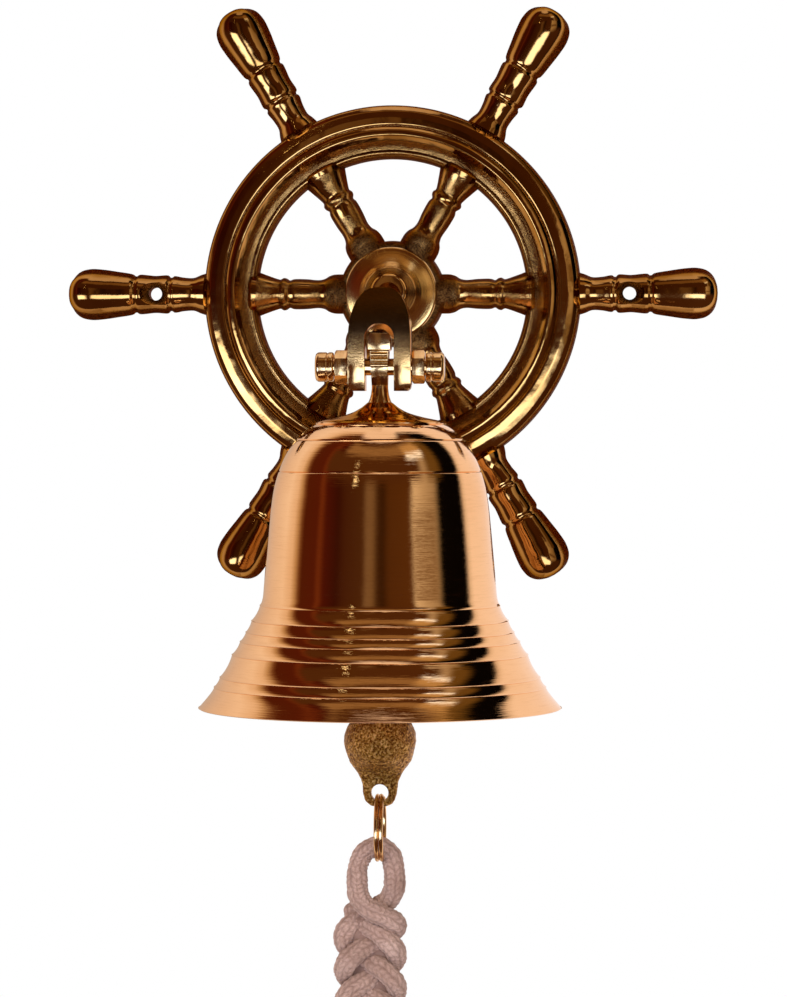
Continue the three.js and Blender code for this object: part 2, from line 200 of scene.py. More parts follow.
def about_wheel_axis(radius, depth, angle):
    return radius * np.sin(angle), -depth + 0 * angle, radius * np.cos(angle)


def about_stud_axis(radius, x, angle):
    return x + 0 * angle, AXIS_Y + radius * np.cos(angle), PIVOT_Z + radius * np.sin(angle)


def turned(name, profile, place, segments=192, closed=False):
    """A lathe piece: profile is [radius, place along the axis]."""
    angles = full_turn(segments)
    rings = [np.stack(place(radius, along, angles), axis=1) for radius, along in profile]
    return rings_object(name, rings, closed)


def prism(name, outline, to_3d, start, end):
    """An outline extruded between two planes; to_3d(u, v, w) places a point."""
    u, v = np.asarray(outline, float).T
    rings = [np.stack(to_3d(u, v, w + 0 * u), axis=1) for w in (start, end)]
    return rings_object(name, rings)


def facing_front(u, v, w):
    return u, -w, v


def facing_side(u, v, w):
    return w, -u, v


def frames_along(path):
    """Two unit normals at each point of a path, which turn as little as possible along it."""
    tangents = np.gradient(path, axis=0)
    tangents /= np.linalg.norm(tangents, axis=1)[:, None]
    first = np.cross(tangents[0], (0.3, 1, 0.2))
    normals = [first / np.linalg.norm(first)]
    for tangent in tangents[1:]:
        normal = normals[-1] - tangent * np.dot(normals[-1], tangent)
        normals.append(normal / np.linalg.norm(normal))
    normals = np.array(normals)
    return normals, np.cross(tangents, normals)


def tube(name, path, radius, sides=24, closed=False):
    """A round tube along a path; radius is one number or an array of [ring, side]."""
    path = np.asarray(path, float)
    normals, others = frames_along(path)
    angles = full_turn(sides)
    radii = np.broadcast_to(radius, (len(path), sides))
    around = (normals[:, None] * np.cos(angles)[None, :, None]
              + others[:, None] * np.sin(angles)[None, :, None])
    return rings_object(name, path[:, None] + around * radii[:, :, None], closed)


def torus(name, centre, radius, wire, axis, segments=72, sides=24):
    """A closed ring of wire whose hole looks along an axis, 0 for X, 1 for Y."""
    angles = full_turn(segments)
    section = full_turn(sides)
    out = radius + wire * np.cos(section)[None, :]
    flat = wire * np.sin(section)[None, :] + 0 * angles[:, None]
    across = out * np.cos(angles)[:, None]
    up = out * np.sin(angles)[:, None]
    order = (flat, across, up) if axis == 0 else (across, flat, up)
    return rings_object(name, np.stack(order, axis=2) + np.asarray(centre, float), True)


def ripple(points, wavelength, seed, waves=40):
    """Smooth seeded noise at points, about -1 to 1, made from waves in random directions."""
    rng = np.random.default_rng(seed)
    directions = rng.normal(size=(waves, 3))
    directions /= np.linalg.norm(directions, axis=1)[:, None]
    lengths = wavelength * rng.uniform(0.6, 1.6, waves)
    phases = rng.uniform(0, 2 * np.pi, waves)
    angles = np.asarray(points) @ (directions * (2 * np.pi / lengths)[:, None]).T + phases
    return np.sin(angles).sum(axis=-1) / math.sqrt(waves / 2) / 1.6


def store(obj, name, values):
    """Keeps one number for each vertex, for the material to read."""
    attribute = obj.data.attributes.new(name, "FLOAT", "POINT")
    attribute.data.foreach_set("value", values.astype(np.float32).ravel())


def apply_modifiers(obj):
    bpy.context.view_layer.update()
    evaluated = obj.evaluated_get(bpy.context.evaluated_depsgraph_get())
    mesh = bpy.data.meshes.new_from_object(evaluated)
    obj.modifiers.clear()
    old = obj.data
    obj.data = mesh
    bpy.data.meshes.remove(old)


def combine(target, operation, *others):
    """Boolean on closed meshes; the others are used up."""
    for other in others:
        modifier = target.modifiers.new("boolean", "BOOLEAN")
        modifier.operation = operation
        modifier.solver = "MANIFOLD"
        modifier.object = other
        apply_modifiers(target)
        mesh = other.data
        bpy.data.objects.remove(other)
        bpy.data.meshes.remove(mesh)
    return target


def bevelled(obj, width, angle=40, segments=2):
    modifier = obj.modifiers.new("bevel", "BEVEL")
    modifier.width = width * MM
    modifier.segments = segments
    modifier.limit_method = "ANGLE"
    modifier.angle_limit = math.radians(angle)
    apply_modifiers(obj)
    return obj


def finished(obj, material, body, replaced=(), sharp_angle=38):
    """Shading, material, and what the frame has to know about a visible piece."""
    obj.data.materials.clear()
    obj.data.materials.append(material)
    obj.data.shade_smooth()
    obj.data.set_sharp_from_angle(angle=math.radians(sharp_angle))
    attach(obj, body)
    if replaced:
        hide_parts(*replaced)


def paint_faces(obj, material, chosen):
    """Gives a second material to the faces whose centre, in millimetres, is chosen."""
    obj.data.materials.append(material)
    for face in obj.data.polygons:
        if chosen(face.center.x / MM, face.center.y / MM, face.center.z / MM):
            face.material_index = 1


# ---- materials ----
def new_material(name):
    """A material with its node tree and its shader."""
    material = bpy.data.materials.new(name)
    material.use_nodes = True
    shader = material.node_tree.nodes["Principled BSDF"]
    return material, material.node_tree, shader


def feed(tree, shader, colour, roughness, normal):
    """Links the three inputs that every metal here paints."""
    for name, socket in (("Base Color", colour), ("Roughness", roughness), ("Normal", normal)):
        tree.links.new(socket, shader.inputs[name])


def new_metal(name):
    """A metal, as new_material makes it, and the point on the object that its patterns are made from."""
    material, tree, shader = new_material(name)
    shader.inputs["Metallic"].default_value = 1
    return material, tree, shader, add(tree, "ShaderNodeTexCoord").outputs["Object"]


def add(tree, kind, inputs=None, **settings):
    """A node with its settings and unlinked inputs; an input that is a socket is linked."""
    node = tree.nodes.new(kind)
    for key, value in settings.items():
        setattr(node, key, value)
    for key, value in (inputs or {}).items():
        if isinstance(value, bpy.types.NodeSocket):
            tree.links.new(value, node.inputs[key])
        else:
            node.inputs[key].default_value = value
    return node


def noise(tree, vector, scale, detail=2.0, roughness=0.5):
    node = add(tree, "ShaderNodeTexNoise",
               {"Vector": vector, "Scale": scale, "Detail": detail, "Roughness": roughness})
    return node.outputs["Fac"]


def ramp(tree, value, stops):
    node = add(tree, "ShaderNodeValToRGB", {"Fac": value})
    elements = node.color_ramp.elements
    while len(elements) < len(stops):
        elements.new(0.5)
    for element, (position, colour) in zip(elements, stops):
        element.position = position
        element.color = (*colour, 1)
    return node.outputs["Color"]


def remap(tree, value, low, high, from_low=0.0, from_high=1.0):
    node = add(tree, "ShaderNodeMapRange", {
        "Value": value, "From Min": from_low, "From Max": from_high, "To Min": low, "To Max": high})
    return node.outputs["Result"]


def arithmetic(tree, operation, first, second=0.0, third=0.0):
    node = add(tree, "ShaderNodeMath", {0: first, 1: second, 2: third}, operation=operation)
    return node.outputs[0]


def mixed(tree, factor, first, second):
    """The first colour with a share of the second; each is a socket or red, green and blue."""
    first, second = [colour if isinstance(colour, bpy.types.NodeSocket) else (*colour, 1)
                     for colour in (first, second)]
    node = add(tree, "ShaderNodeMix", {0: factor, 6: first, 7: second}, data_type="RGBA")
    return node.outputs[2]


def bump(tree, height, strength, distance, normal=None):
    inputs = {"Height": height, "Strength": strength, "Distance": distance}
    if normal is not None:
        inputs["Normal"] = normal
    return add(tree, "ShaderNodeBump", inputs).outputs["Normal"]


def turning_marks(tree, point, centre, axis):
    """A place for noise that is the same all along a lathe's cut: the radius and the place on the axis."""
    moved = add(tree, "ShaderNodeVectorMath", {0: point, 1: centre}, operation="SUBTRACT")
    flat = [1, 1, 1]
    flat[axis] = 0
    squashed = add(tree, "ShaderNodeVectorMath", {0: moved.outputs[0], 1: flat}, operation="MULTIPLY")
    radius = add(tree, "ShaderNodeVectorMath", {0: squashed.outputs[0]}, operation="LENGTH")
    parts = add(tree, "ShaderNodeSeparateXYZ", {0: moved.outputs[0]})
    return add(tree, "ShaderNodeCombineXYZ", {0: radius.outputs["Value"], 1: parts.outputs[axis]}).outputs[0]


def stretched(tree, point, scale):
    return add(tree, "ShaderNodeVectorMath", {0: point, 1: scale}, operation="MULTIPLY").outputs[0]


def bell_brass():
    """Lathe-turned, polished brass with fine circular marks."""
    material, tree, shader, point = new_metal("bell_brass_turned")
    brushed = noise(tree, stretched(tree, point, (110, 110, 2300)), 1, 3, 0.6)
    hairlines = noise(tree, stretched(tree, point, (40, 40, 5200)), 1, 2, 0.5)
    patches = noise(tree, point, 45, 3)
    tone = ramp(tree, patches, [(0.3, (0.90, 0.55, 0.275)), (0.7, (0.95, 0.61, 0.325))])
    tone = mixed(tree, remap(tree, brushed, 0, 0.35, 0.5, 0.85), tone, (0.70, 0.38, 0.16))
    marks = bump(tree, hairlines, 0.5, 0.00003)
    lines = bump(tree, brushed, 0.5, 0.00005, marks)
    wave = bump(tree, noise(tree, point, 60, 1), 0.14, 0.0007, lines)
    feed(tree, shader, tone, remap(tree, brushed, 0.03, 0.10, 0.3, 0.75), wave)
    return material


def cast_brass(name, low_tone, high_tone, stain_and_shade, stain_and_shade_roughness, edge):
    """Buffed casting: wavy mirror surface, with dark brown left in the hollows, and painted shade mixed in
    through the same attribute.
    """
    material, tree, shader, point = new_metal(name)
    patches = noise(tree, point, 60, 4)
    tone = ramp(tree, patches, [(0.3, low_tone), (0.7, high_tone)])
    # The attribute brings in dark, rough as-cast metal and painted shade; the stain colour serves for both.
    cast_and_shade_share = add(tree, "ShaderNodeAttribute", attribute_name="cast_and_shade").outputs["Fac"]
    grain = noise(tree, point, 1900, 4, 0.6)
    stained_and_shaded = mixed(tree, remap(tree, grain, 0.0, 1.0, 0.42, 0.6), stain_and_shade, (0.02, 0.006, 0.002))
    tone = mixed(tree, cast_and_shade_share, tone, stained_and_shaded)
    smooth = remap(tree, noise(tree, point, 130, 3), 0.05, 0.14)
    rough = arithmetic(tree, "MULTIPLY_ADD", cast_and_shade_share, stain_and_shade_roughness, smooth)
    waves = bump(tree, noise(tree, point, 95, 2), 0.22, 0.0016)
    scratches = bump(tree, noise(tree, point, 900, 3), 0.10, 0.00015, waves)
    pits = bump(tree, arithmetic(tree, "MULTIPLY", grain, cast_and_shade_share), 0.9, 0.0005, scratches)
    feed(tree, shader, tone, rough, pits)
    shader.inputs["Specular Tint"].default_value = (*edge, 1)
    return material


def turned_brass():
    """The bracket's flange, turned on a lathe: circular marks that spread light into rays."""
    material, tree, shader, point = new_metal("bracket_flange_turned")
    marks = noise(tree, turning_marks(tree, point, (0, 0, 0), 1), 3000, 3, 0.6)
    patches = noise(tree, point, 130, 3)
    tone = ramp(tree, patches, [(0.3, (0.72, 0.41, 0.13)), (0.7, (0.88, 0.55, 0.21))])
    feed(tree, shader, tone, remap(tree, marks, 0.12, 0.26), bump(tree, marks, 0.6, 0.00009))
    return material


def rough_brass():
    """Unpolished sand casting: a grain of about half a millimetre that glitters."""
    material, tree, shader, point = new_metal("brass_as_cast")
    grain = noise(tree, point, 1500, 4, 0.65)
    lumps = noise(tree, point, 380, 3)
    tone = ramp(tree, grain, [(0.38, (0.08, 0.024, 0.005)), (0.5, (0.50, 0.22, 0.032)),
                              (0.62, (1.0, 0.62, 0.19))])
    shade = mixed(tree, remap(tree, lumps, 0, 0.5, 0.35, 0.75), tone, (0.20, 0.08, 0.014))
    coarse = bump(tree, lumps, 0.7, 0.0009)
    feed(tree, shader, shade, remap(tree, grain, 0.22, 0.42), bump(tree, grain, 1.0, 0.0007, coarse))
    return material


def fitting_brass():
    """Machined nuts, stems and wire."""
    material, tree, shader, point = new_metal("brass_fittings")
    lathe = turning_marks(tree, point, (0, AXIS_Y * MM, PIVOT_Z * MM), 0)
    fine = noise(tree, lathe, 3200, 2, 0.6)
    patches = noise(tree, point, 160, 4)
    tone = ramp(tree, patches, [(0.3, (0.74, 0.45, 0.18)), (0.7, (0.90, 0.61, 0.30))])
    marks = bump(tree, fine, 0.3, 0.00005)
    dents = bump(tree, noise(tree, point, 420, 2), 0.15, 0.0004, marks)
    feed(tree, shader, tone, remap(tree, patches, 0.22, 0.1), dents)
    return material


def cotton():
    """Mauve-beige cotton yarn with loose fibres."""
    material, tree, shader = new_material("cotton_rope")
    point = add(tree, "ShaderNodeTexCoord").outputs["Object"]
    fibres = noise(tree, point, 2600, 4, 0.65)
    patches = noise(tree, point, 110, 4)
    tone = ramp(tree, patches, [(0.28, (0.44, 0.29, 0.235)), (0.5, (0.62, 0.43, 0.365)),
                                (0.75, (0.76, 0.555, 0.48))])
    tone = mixed(tree, remap(tree, fibres, 0.55, 0.0, 0.3, 0.62), tone, (0.30, 0.175, 0.13))
    # Painted shade in the gaps between stitches, where the yarn attribute is low; a piece without the
    # attribute, the heart and the knot filling, is painted at the full shade.
    depth = add(tree, "ShaderNodeAttribute", attribute_name="yarn").outputs["Fac"]
    tone = mixed(tree, remap(tree, depth, 0.62, 0.0), tone, (0.13, 0.06, 0.04))
    tree.links.new(tone, shader.inputs["Base Color"])
    tree.links.new(bump(tree, fibres, 0.8, 0.0005), shader.inputs["Normal"])
    shader.inputs["Roughness"].default_value = 0.92
    shader.inputs["Sheen Weight"].default_value = 0.35
    shader.inputs["Sheen Roughness"].default_value = 0.5
    shader.inputs["Sheen Tint"].default_value = (0.95, 0.8, 0.74, 1)
    return material


BELL_BRASS = bell_brass()
# Its stain colour is the dark as-cast metal round the hub and in the rim's groove, and painted shade towards
# the wall and on the sides.
WHEEL_BRASS = cast_brass("wheel_brass_antique", low_tone=(0.36, 0.17, 0.042), high_tone=(0.60, 0.33, 0.11),
                         stain_and_shade=(0.22, 0.095, 0.025), stain_and_shade_roughness=0.22, edge=(0.30, 0.15, 0.05))
# Its near-black stain colour is painted shade only: in the undercut ring, on the neck and over the hook's
# top.
BRACKET_BRASS = cast_brass("bracket_brass", low_tone=(0.66, 0.37, 0.13), high_tone=(0.84, 0.53, 0.22),
                           stain_and_shade=(0.03, 0.011, 0.004), stain_and_shade_roughness=0.05, edge=(0.7, 0.45, 0.22))
FLANGE_BRASS = turned_brass()
ROUGH_BRASS = rough_brass()
FITTING_BRASS = fitting_brass()
COTTON = cotton()


# ---- lanyard: a three-strand plait that ends in a Turk's head ----
CORD_R = 3.2
CORD_STEP = 0.3
CORD_SIDES = 60
LOOP_HALF = 5.2
LOOP_TOP_Z = millimetres("lanyard_loop")[1][2] - CORD_R
PLAIT_FROM_Z = -181.0
PLAIT_PERIOD = 30.0
PLAIT_HALF_WIDTH = 8.0
PLAIT_HALF_DEPTH = 3.5
PLAIT_LINGER = 0.07  # how much longer a strand stays at the plait's sides than a sine would
HEART_HALF_WIDTH = 5.8
HEART_HALF_DEPTH = 1.9
KNOT_LOW, KNOT_HIGH = millimetres("lanyard_knot")
KNOT_CENTRE = (KNOT_LOW + KNOT_HIGH) / 2
PLAIT_END_Z = KNOT_HIGH[2] - 3


def plait_axis_x(z):
    """The plait hangs a little to the left of its loop and comes back under it lower down."""
    return -3.0 * np.clip((-176 - z) / 12, 0, 1) * np.clip((z + 262) / 40, 0, 1)


def plait(phase_degrees, start_z):
    """One strand's centreline down to the knot: [x, towards the front, z]."""
    z = np.arange(start_z, PLAIT_END_Z, -0.5)
    angle = 2 * np.pi * (PLAIT_FROM_Z - z) / PLAIT_PERIOD + math.radians(phase_degrees)
    gather = np.clip((z - PLAIT_END_Z + 1) / 10, 0.28, 1)
    turn = (np.sin(angle) + PLAIT_LINGER * np.sin(3 * angle)) / (1 - PLAIT_LINGER)
    x = plait_axis_x(z) + PLAIT_HALF_WIDTH * gather * turn
    front = PLAIT_HALF_DEPTH * gather * np.sin(2 * angle)
    return np.stack([x, front, z], axis=1)


def on_lanyard(points):
    """[x, towards the front, z] to the CAD frame."""
    x, front, z = np.asarray(points, float).T
    return np.stack([x, AXIS_Y - front, z], axis=1)


def loop_path():
    """Up from the knot, over the split ring and down again."""
    left = plait(0, -192.5)
    right = plait(120, -199.0)
    bend_z = LOOP_TOP_Z - LOOP_HALF
    angles = np.radians(np.arange(165, 0, -30))
    bend = np.stack([LOOP_HALF * np.cos(angles) - 1.1, 0 * angles, bend_z + LOOP_HALF * np.sin(angles)],
                    axis=1)
    left_leg = [(5.4, 0.0, -190.2), (3.8, 2.9, -188.0), (-1.0, 3.9, -185.9), (-5.5, 2.9, -183.0),
                (-6.9, 1.2, -179.0), (-6.4, 0.4, -173.0)]
    right_leg = [(4.2, 0, -174), (4.4, -0.9, -179), (2.8, -2.8, -182.8), (-2.4, -3.2, -186.0),
                 (-7.8, -1.2, -189.0), (-11.2, 0.2, -192.3), (-11.1, -0.6, -195.6)]
    return on_lanyard(np.vstack([left[::-1], left_leg, bend, right_leg, right]))


def third_path():
    """The third strand starts tucked in behind the left leg."""
    tucked = [(-7.9, -3.5, -183.4), (-7.9, -3.6, -185.6)]
    return on_lanyard(np.vstack([tucked, plait(240, -188.5)]))


def knitted_radius(length_along, angles, seed):
    """The surface of a knitted cotton cord: columns of V-shaped stitches."""
    columns, stitch, turn = 6, 1.7, 0.004
    along = length_along[:, None]
    around = np.stack([along + 0 * angles, 3 * np.cos(angles) + 0 * along, 3 * np.sin(angles) + 0 * along],
                      axis=2)
    place = (angles[None, :] * columns / (2 * np.pi) + along * turn * columns
             + 0.13 * ripple(around, 5, seed + 50))
    across = 2 * (place % 1) - 1
    number = np.floor(place) % columns
    rib = (along / stitch - 0.75 * np.abs(across) + 0.37 * number + 0.22 * ripple(around, 4, seed + 60)) % 1
    yarn = np.sqrt(np.clip(1 - (2 * rib - 1) ** 2, 0, 1))
    valley = 1 - np.abs(across) ** 5
    seam = 1 - 0.5 * np.exp(-(across / 0.12) ** 2)
    height = yarn * valley * seam
    wobble = ripple(around, 6, seed)
    return CORD_R - 0.42 + 0.5 * height + 0.2 * wobble, height


def cord_object(name, waypoints, seed):
    """A knitted cord with rounded ends; also its centreline and its length in metres."""
    path = smoothed(resampled(catmull_rom(waypoints, 0.5), CORD_STEP), 8)
    along = np.arange(len(path)) * CORD_STEP
    radii, height = knitted_radius(along, full_turn(CORD_SIDES), seed)
    from_end = np.minimum(along, along[-1] - along)
    radii = radii * np.sqrt(np.clip(1 - (1 - from_end / CORD_R).clip(0) ** 2, 0.02, 1))[:, None]
    obj = tube(name, path, radii, CORD_SIDES)
    store(obj, "yarn", height)
    length = np.linalg.norm(np.diff(path, axis=0), axis=1).sum()
    return obj, path * MM, length * MM


def turks_head():
    """A closed three-strand band of five bights worked round the end of the rope."""
    radius, swing, weave, cord, sides = 7.4, math.radians(52), 1.75, 2.5, 36
    turn = full_turn(1200)
    out = radius + weave * np.sin(10 * turn)
    latitude = swing * np.sin(5 * turn)
    longitude = 3 * turn
    level = out * np.cos(latitude)
    path = np.stack([level * np.cos(longitude), level * np.sin(longitude), 1.12 * out * np.sin(latitude)],
                    axis=1) + KNOT_CENTRE
    steps = np.linalg.norm(np.diff(path, axis=0, append=path[:1]), axis=1)
    radii, height = knitted_radius(np.cumsum(steps), full_turn(sides), 5)
    obj = tube("lanyard_end_knot", path, radii * cord / CORD_R, sides, closed=True)
    store(obj, "yarn", height)
    return obj


def knot_filling():
    """The strands' ends, packed inside the knot."""
    latitudes = np.linspace(-np.pi / 2 + 0.02, np.pi / 2 - 0.02, 40)
    angles = full_turn(60)
    level = np.cos(latitudes)[:, None]
    rings = np.stack([level * np.cos(angles), level * np.sin(angles),
                      1.28 * np.sin(latitudes)[:, None] + 0 * angles], axis=2)
    lumps = 1 + 0.06 * ripple(rings * 6, 3.2, 8)
    return rings_object("lanyard_knot_filling", rings * 6.9 * lumps[:, :, None] + KNOT_CENTRE)


def heart():
    """A flat cord inside the plait, seen only between the strands."""
    z = np.arange(-188.0, PLAIT_END_Z, -0.6)[:, None]
    angles = full_turn(32)
    x = plait_axis_x(z) + HEART_HALF_WIDTH * np.cos(angles)
    rings = np.stack([x, AXIS_Y + HEART_HALF_DEPTH * np.sin(angles) + 0 * z, z + 0 * angles], axis=2)
    rings[:, :, 1] += 0.4 * ripple(rings, 3, 14)
    return rings_object("lanyard_heart", rings)


def make_lanyard():
    loop, loop_points, loop_length = cord_object("lanyard_cord", loop_path(), 1)
    third, third_points, third_length = cord_object("lanyard_third_strand", third_path(), 2)
    knot = turks_head()
    filling = knot_filling()
    core = heart()
    # The knot filling and the heart carry no yarn attribute, so the cotton gives them its full painted shade.
    for piece, replaced in ((loop, ["lanyard_loop", "lanyard_sinnet"]), (third, []), (knot, ["lanyard_knot"]),
                            (filling, []), (core, [])):
        finished(piece, COTTON, "lanyard", replaced, 80)


make_lanyard()


# ---- wheel ----
ARM_AXIS_DEPTH = 4.6
RIM_OUTER_R = 59.4
RIM_INNER_R = 42.6
HUB_R = 16.8
WALL_HOLE_AT = 74.5
SPOKE_AND_HANDLE = [  # distance from the wheel's centre, half-width
    (12, 6.0), (16, 6.2), (18.4, 6.1), (20.0, 5.6), (21.3, 4.8), (23.2, 4.4), (27, 4.7), (31.2, 4.7),
    (32.4, 4.3), (33.3, 4.9), (34.4, 5.1), (35.3, 4.6), (36.6, 4.9), (40, 6.1), (43, 7.1), (50, 7.3),
    (57, 7.0), (60.5, 6.1), (62.8, 5.2), (66, 5.3), (69.1, 5.75), (69.7, 5.3), (70.3, 5.3), (70.9, 5.95),
    (75, 5.85), (80.2, 6.2), (80.8, 5.75), (81.4, 5.75), (82.1, 6.3), (87, 7.2), (92, 7.9), (95.5, 8.05),
    (98.6, 7.3), (100.6, 5.6), (101.7, 3.2), (102, 0.4),
]
FRONT_SHARE = 0.83  # the buffed half-round's share of the width at the wall


def wheel_arm(name, degrees):
    """A spoke and handle in one: half-round in front, straight-sided behind."""
    arm = np.array(SPOKE_AND_HANDLE, float)
    arm[:, 0] *= WHEEL_TIP_R / arm[-1, 0]
    line = resampled(catmull_rom(arm, 0.25), 0.4)
    around = np.linspace(0, np.pi, 41)
    direction = np.array([math.sin(math.radians(degrees)), math.cos(math.radians(degrees))])
    side = np.array([direction[1], -direction[0]])
    rings = []
    for along, foot in line:
        foot = max(foot, 0.2)
        half = FRONT_SHARE * foot
        under_rim = np.clip(min(along - 44, 59 - along) / 1.5, 0, 1)
        bulge = half * (1 - 0.75 * under_rim)
        across = np.concatenate([[foot, foot], half * np.cos(around), [-foot, -foot]])
        depth = np.concatenate([[0, 0.8], ARM_AXIS_DEPTH + bulge * np.sin(around), [0.8, 0]])
        x = along * direction[0] + across * side[0]
        z = along * direction[1] + across * side[1]
        rings.append(np.stack([x, -depth, z], axis=1))
    return rings_object(name, rings)


def countersunk_hole(x):
    profile = [(0, -1), (2.1, -1), (2.1, 6), (4.6, 9.4), (5.2, 14), (0, 14)]
    cutter = turned("hole", profile, about_wheel_axis, 48)
    cutter.data.transform(Matrix.Translation((x * MM, 0, 0)))
    return cutter


def paint_cast_and_shade(obj, strength):
    """Stores how rough and dark the casting was left, and how much painted shade it gets, from 0 to 1."""
    points = np.zeros(len(obj.data.vertices) * 3)
    obj.data.vertices.foreach_get("co", points)
    normals = np.array([corner.vector[:] for corner in obj.data.vertex_normals])
    values = strength(points.reshape(-1, 3) / MM, normals)
    store(obj, "cast_and_shade", np.clip(values, 0, 1))


def wheel_cast_and_shade(points, normals):
    """Dark round the spokes' roots and the hub, in the rim's groove and the dip on its inner side, and
    mottled over the spokes; painted shade towards the wall and on faces turned away from the front, the screw
    holes' walls among them.
    """
    from_centre = np.hypot(points[:, 0], points[:, 2])
    depth = -points[:, 1]
    mottle = 0.5 + 0.6 * ripple(points, 5, 11)
    root = np.exp(-((from_centre - 18.8) / 2.2) ** 4) * (depth < 11) * (0.55 + 0.45 * mottle)
    spokes = 0.32 * (from_centre < RIM_INNER_R) * mottle
    # painted shade next to the wall, where the casting stands on it
    back = np.where(depth < 1.4, 0.75, 0.45 * (depth < 4.2) * (0.6 + 0.4 * mottle))
    groove = 0.8 * np.exp(-((from_centre - 52.9) / 0.7) ** 2) * (depth < 9.2)
    slope = 0.5 * np.exp(-((from_centre - 45.8) / 1.8) ** 4) * (0.6 + 0.4 * mottle)
    hub = 0.9 * (from_centre < 17.2)
    # painted shade on faces turned away from the front: the arms' sides, the rim's outer wall and the screw
    # holes' walls
    sides = np.clip((0.5 + normals[:, 1]) / 0.22, 0, 1) * (depth < 8)
    return np.maximum.reduce([root, spokes, back, groove, slope, hub, sides])


def make_wheel():
    rim_corners = [
        (RIM_INNER_R - 0.3, 0), (RIM_OUTER_R, 0), (RIM_OUTER_R - 0.2, 2), (58.9, 6.0), (58.3, 7.6),
        (57.0, 8.7), (55.0, 9.4), (53.0, 9.7), (52.5, 9.5), (52.25, 8.9), (51.95, 9.7), (51.0, 10.6),
        (49.9, 11.05), (49.2, 11.0), (48.8, 10.3), (47.7, 8.6), (46.2, 7.4), (44.9, 6.9), (44.5, 7.25),
        (43.8, 7.35), (43.2, 6.8), (RIM_INNER_R + 0.1, 5.4),
    ]
    rim = rounded(rim_corners, 0.4, closed=True)
    hub = [(0, 0), (HUB_R, 0), (16.2, 6.6), (15.7, 7.9), (14.8, 8.5), (0, 8.5)]
    wheel = turned("wheel_casting", rim, about_wheel_axis, 256, closed=True)
    combine(wheel, "UNION", turned("hub", rounded(hub, 0.6), about_wheel_axis, 128))
    for index in range(6):
        combine(wheel, "UNION", wheel_arm("arm", 30 + 60 * index))
    for side in (-1, 1):
        combine(wheel, "DIFFERENCE", countersunk_hole(side * WALL_HOLE_AT))
    paint_cast_and_shade(wheel, wheel_cast_and_shade)
    finished(wheel, WHEEL_BRASS, "wheel", ["wheel"], 32)


make_wheel()


# ---- bracket ----
FORK_HALF_WIDTH = 9.3
FORK_TOP_Z = 0.0
FORK_BOTTOM_Z = -31.0
SLOT_HALF_WIDTH = 4.35
SLOT_TOP_Z = -10.95
ARCH_HEIGHT = 18.5
ARCH_POWER = 2.6  # 2 is an ellipse; more is squarer
HOOK_HALF_DEPTH = 5.8
HOOK_FROM_DEPTH = 44
UNDERCUT_DEPTHS = (20.4, 22.3)
FLANGE_FACE_DEPTH = 15.2
STUD_HOLE_R = 2.8


def arc(centre, radii, start, end, steps):
    angles = np.radians(np.linspace(start, end, steps + 1))
    return np.stack([centre[0] + radii[0] * np.cos(angles), centre[1] + radii[1] * np.sin(angles)], axis=1)


def stud_hole(start, end, segments=40):
    """A cutter along the stud."""
    profile = [(0, start), (STUD_HOLE_R, start), (STUD_HOLE_R, end), (0, end)]
    return turned("hole", profile, about_stud_axis, segments)


def fork():
    """The hook that straddles the bell's hanger: its front outline and its side outline, intersected."""
    arch_z = SLOT_TOP_Z - SLOT_HALF_WIDTH
    turn = arc((0, 0), (1, 1), 0, 180, 64)
    rounder = np.sign(turn) * np.abs(turn) ** (2 / ARCH_POWER)
    outside = rounder * [FORK_HALF_WIDTH, ARCH_HEIGHT] + [0, FORK_TOP_Z - ARCH_HEIGHT]
    foot = np.array([(SLOT_HALF_WIDTH, FORK_BOTTOM_Z), (FORK_HALF_WIDTH - 1.1, FORK_BOTTOM_Z),
                     (FORK_HALF_WIDTH - 0.3, FORK_BOTTOM_Z + 0.7), (FORK_HALF_WIDTH, FORK_BOTTOM_Z + 2)])
    inside_arch = arc((0, arch_z), (SLOT_HALF_WIDTH, SLOT_HALF_WIDTH), 180, 0, 28)
    front = np.vstack([foot, outside, foot[::-1] * [-1, 1], inside_arch])
    front_depth, back_depth = -AXIS_Y + HOOK_HALF_DEPTH, -AXIS_Y - HOOK_HALF_DEPTH
    crown_points = [
        (1.6, FORK_BOTTOM_Z), (0.9, -28.5), (0.35, -25.5), (0.08, -22), (0.1, -18), (1.2, -12.5), (3.8, -7),
        (8.0, -2.2), (11.5, FORK_TOP_Z + 0.2), (14.5, FORK_TOP_Z - 0.2), (17.5, FORK_TOP_Z - 1.2),
        (20, FORK_TOP_Z - 2.4),
    ]
    crown = catmull_rom([(front_depth - behind, z) for behind, z in crown_points], 1.0)
    inside = catmull_rom([(back_depth - 6, -10.4), (back_depth - 2, -11.3), (back_depth, -16.5),
                          (back_depth, -22)], 1.0)
    side = np.vstack([[(back_depth, FORK_BOTTOM_Z)], crown, inside])
    slab = prism("wall_bracket", front, facing_front, 50, 80)
    return combine(slab, "INTERSECT", prism("hook", side, facing_side, -12, 12))


def bracket_painted_shade(points, normals):
    """Painted shade in the undercut ring, half as much on the flange's neck nearer the wall, and over the
    hook's top, fading down its legs; the hook's flat sides are left out.
    """
    depth, z = -points[:, 1], points[:, 2]
    start, end = UNDERCUT_DEPTHS
    # painted shade: the undercut ring, and half as much nearer the wall
    undercut = 0.95 * (depth > start) * (depth < end) + 0.5 * (depth < start)
    faces_sideways = np.abs(normals[:, 0]) >= 0.25
    # painted shade over the hook's top, fading down its legs
    hook = 0.96 * (depth > HOOK_FROM_DEPTH) * np.clip((z + 24) / 11, 0, 1) * ~faces_sideways
    return np.maximum(undercut, hook)


